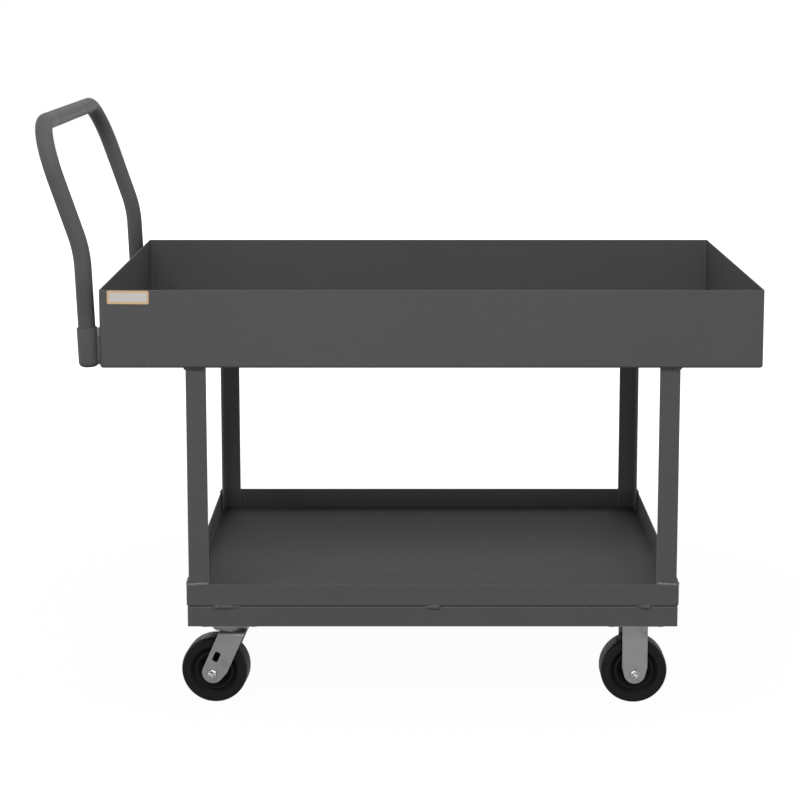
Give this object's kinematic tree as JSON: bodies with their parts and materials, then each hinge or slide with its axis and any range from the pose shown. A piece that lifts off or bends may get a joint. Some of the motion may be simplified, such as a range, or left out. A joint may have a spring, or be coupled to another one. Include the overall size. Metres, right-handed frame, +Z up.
{
  "type": "platform cart",
  "caption": "Steel platform cart with a deep open tray over a lipped lower shelf, angle-iron legs, a lift-out tube handle, and swivel and rigid casters.",
  "frame": {"origin": "on the floor under the centre of the whole cart's box", "axes": "+Z up, length along X with the handle at -X, long front side facing -Y"},
  "size_m": [1.352, 0.764, 1.1257],
  "materials": {
    "painted_steel": "satin powder coat with a fine orange peel",
    "zinc_plate": "dull zinc plating",
    "phenolic": "moulded black phenolic, satin",
    "plate_metal": "bare satin plate with a gold-coloured edge"
  },
  "bodies": {
    "frame": {"top_tray": "painted_steel", "lower_shelf": "painted_steel", "leg_front_left": "painted_steel", "leg_front_right": "painted_steel", "leg_rear_left": "painted_steel", "leg_rear_right": "painted_steel", "rail_front": "painted_steel", "rail_rear": "painted_steel", "rail_left": "painted_steel", "rail_right": "painted_steel", "bolster_left": "painted_steel", "bolster_right": "painted_steel", "handle_socket_front": "painted_steel", "socket_spacer_front": "painted_steel", "handle_socket_rear": "painted_steel", "socket_spacer_rear": "painted_steel", "name_plate": "plate_metal", "swivel_plate_front": "zinc_plate", "kingpin_front": "zinc_plate", "rigid_fork_front": "zinc_plate", "swivel_plate_rear": "zinc_plate", "kingpin_rear": "zinc_plate", "rigid_fork_rear": "zinc_plate", "plate_bolt_front_left_1": "zinc_plate", "plate_bolt_front_left_2": "zinc_plate", "plate_bolt_front_left_3": "zinc_plate", "plate_bolt_front_left_4": "zinc_plate", "axle_sleeve_front_right": "zinc_plate", "axle_bolt_front_right": "zinc_plate", "axle_nut_front_right": "zinc_plate", "plate_bolt_front_right_1": "zinc_plate", "plate_bolt_front_right_2": "zinc_plate", "plate_bolt_front_right_3": "zinc_plate", "plate_bolt_front_right_4": "zinc_plate", "plate_bolt_rear_left_1": "zinc_plate", "plate_bolt_rear_left_2": "zinc_plate", "plate_bolt_rear_left_3": "zinc_plate", "plate_bolt_rear_left_4": "zinc_plate", "axle_sleeve_rear_right": "zinc_plate", "axle_bolt_rear_right": "zinc_plate", "axle_nut_rear_right": "zinc_plate", "plate_bolt_rear_right_1": "zinc_plate", "plate_bolt_rear_right_2": "zinc_plate", "plate_bolt_rear_right_3": "zinc_plate", "plate_bolt_rear_right_4": "zinc_plate"},
    "push_handle": {"push_handle": "painted_steel"},
    "swivel_front": {"swivel_fork_front": "zinc_plate", "ball_ring_front": "zinc_plate", "axle_sleeve_front_left": "zinc_plate", "axle_bolt_front_left": "zinc_plate", "axle_nut_front_left": "zinc_plate"},
    "swivel_rear": {"swivel_fork_rear": "zinc_plate", "ball_ring_rear": "zinc_plate", "axle_sleeve_rear_left": "zinc_plate", "axle_bolt_rear_left": "zinc_plate", "axle_nut_rear_left": "zinc_plate"},
    "wheel_front_left": {"wheel_front_left": "phenolic"},
    "wheel_front_right": {"wheel_front_right": "phenolic"},
    "wheel_rear_left": {"wheel_rear_left": "phenolic"},
    "wheel_rear_right": {"wheel_rear_right": "phenolic"}
  },
  "joints": [
    {"name": "front_caster_swivel", "type": "hinge", "parent": "frame", "child": "swivel_front", "pos_m": [-0.32059, -0.305, 0.15], "axis": [0, 0, 1], "continuous": true},
    {"name": "rear_caster_swivel", "type": "hinge", "parent": "frame", "child": "swivel_rear", "pos_m": [-0.32059, 0.305, 0.15], "axis": [0, 0, 1], "continuous": true},
    {"name": "front_left_wheel_spin", "type": "hinge", "parent": "swivel_front", "child": "wheel_front_left", "pos_m": [-0.35045, -0.30212, 0.0635], "axis": [0.0958, 0.9954, 0], "continuous": true},
    {"name": "front_right_wheel_spin", "type": "hinge", "parent": "frame", "child": "wheel_front_right", "pos_m": [0.45141, -0.305, 0.0635], "axis": [0, 1, 0], "continuous": true},
    {"name": "rear_left_wheel_spin", "type": "hinge", "parent": "swivel_rear", "child": "wheel_rear_left", "pos_m": [-0.35045, 0.30788, 0.0635], "axis": [0.0958, 0.9954, 0], "continuous": true},
    {"name": "rear_right_wheel_spin", "type": "hinge", "parent": "frame", "child": "wheel_rear_right", "pos_m": [0.45141, 0.305, 0.0635], "axis": [0, 1, 0], "continuous": true},
    {"name": "handle_lift", "type": "slide", "parent": "frame", "child": "push_handle", "axis": [-0.0419, 0, 0.9991], "range_m": [0, 0.085]}
  ]
}
